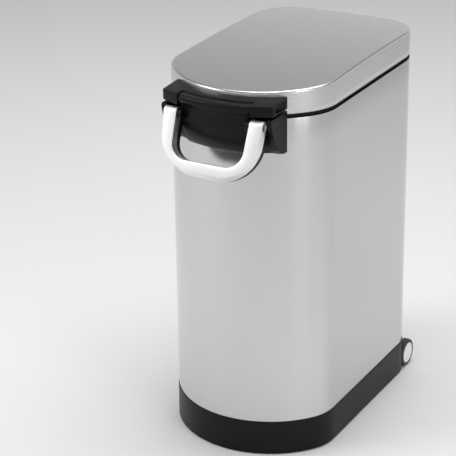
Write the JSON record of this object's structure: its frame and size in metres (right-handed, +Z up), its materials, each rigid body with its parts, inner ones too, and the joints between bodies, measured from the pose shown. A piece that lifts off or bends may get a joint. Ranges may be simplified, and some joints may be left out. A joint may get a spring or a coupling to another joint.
{
  "type": "pet food bin",
  "caption": "Curved-front steel pet food bin with a hinged lid, a swing handle latch, an inner bucket, a magnetic scoop and rear wheels.",
  "frame": {"origin": "on the floor, under the middle of the whole object's box", "axes": "+Z up; the curved front with the handle faces -Y; +X is the right side seen from behind the handle looking along +Y"},
  "size_m": [0.275, 0.4986, 0.607],
  "materials": {
    "steel": "satin brushed",
    "trim_black": "fine grained",
    "base_black": "fine grained",
    "bucket_grey": "moulded",
    "liner_grey": "moulded",
    "handle_silver": "satin",
    "seal": "soft",
    "pad_rubber": "soft",
    "tyre": "soft",
    "hub_white": "smooth",
    "plain_steel": "plain"
  },
  "bodies": {
    "body": {"body_shell": "steel", "top_collar": "trim_black", "base": "base_black", "base_deck": "base_black", "floor_pads": "pad_rubber", "inner_bucket": "bucket_grey", "axle": "plain_steel", "axle_clips": "plain_steel", "keeper_bracket": "trim_black", "keeper_lips": "plain_steel", "keeper_screws": "plain_steel", "hinge_body_leaves": "trim_black", "hinge_pins": "plain_steel", "hinge_body_screws": "plain_steel"},
    "lid": {"lid_skin": "steel", "lid_liner": "liner_grey", "lid_gasket": "seal", "hood_frame": "trim_black", "latch_housing": "trim_black", "latch_pins": "plain_steel", "hood_screws": "plain_steel", "hinge_lid_leaves": "trim_black", "hinge_lid_screws": "plain_steel", "scoop_dock": "liner_grey", "dock_magnets": "plain_steel"},
    "handle": {"handle_frame": "handle_silver", "handle_liner": "trim_black", "latch_claws": "plain_steel", "liner_screws": "plain_steel"},
    "scoop": {"scoop": "bucket_grey", "scoop_plate": "plain_steel"},
    "wheel_left": {"wheel_left_hub": "hub_white", "wheel_left_tyre": "tyre", "wheel_left_cap": "hub_white"},
    "wheel_right": {"wheel_right_hub": "hub_white", "wheel_right_tyre": "tyre", "wheel_right_cap": "hub_white"}
  },
  "joints": [
    {"name": "lid_hinge", "type": "hinge", "parent": "body", "child": "lid", "pos_m": [0, 0.24328, 0.562], "axis": [-1, 0, 0], "range_deg": [0, 95]},
    {"name": "handle_swing", "type": "hinge", "parent": "lid", "child": "handle", "pos_m": [0, -0.21072, 0.56], "axis": [-1, 0, 0], "range_deg": [0, 105]},
    {"name": "scoop_release", "type": "slide", "parent": "lid", "child": "scoop", "axis": [0, 0, -1], "range_m": [0, 0.1]},
    {"name": "wheel_left_spin", "type": "hinge", "parent": "body", "child": "wheel_left", "pos_m": [-0.13, 0.20728, 0.0238], "axis": [1, 0, 0], "continuous": true},
    {"name": "wheel_right_spin", "type": "hinge", "parent": "body", "child": "wheel_right", "pos_m": [0.13, 0.20728, 0.0238], "axis": [1, 0, 0], "continuous": true}
  ]
}
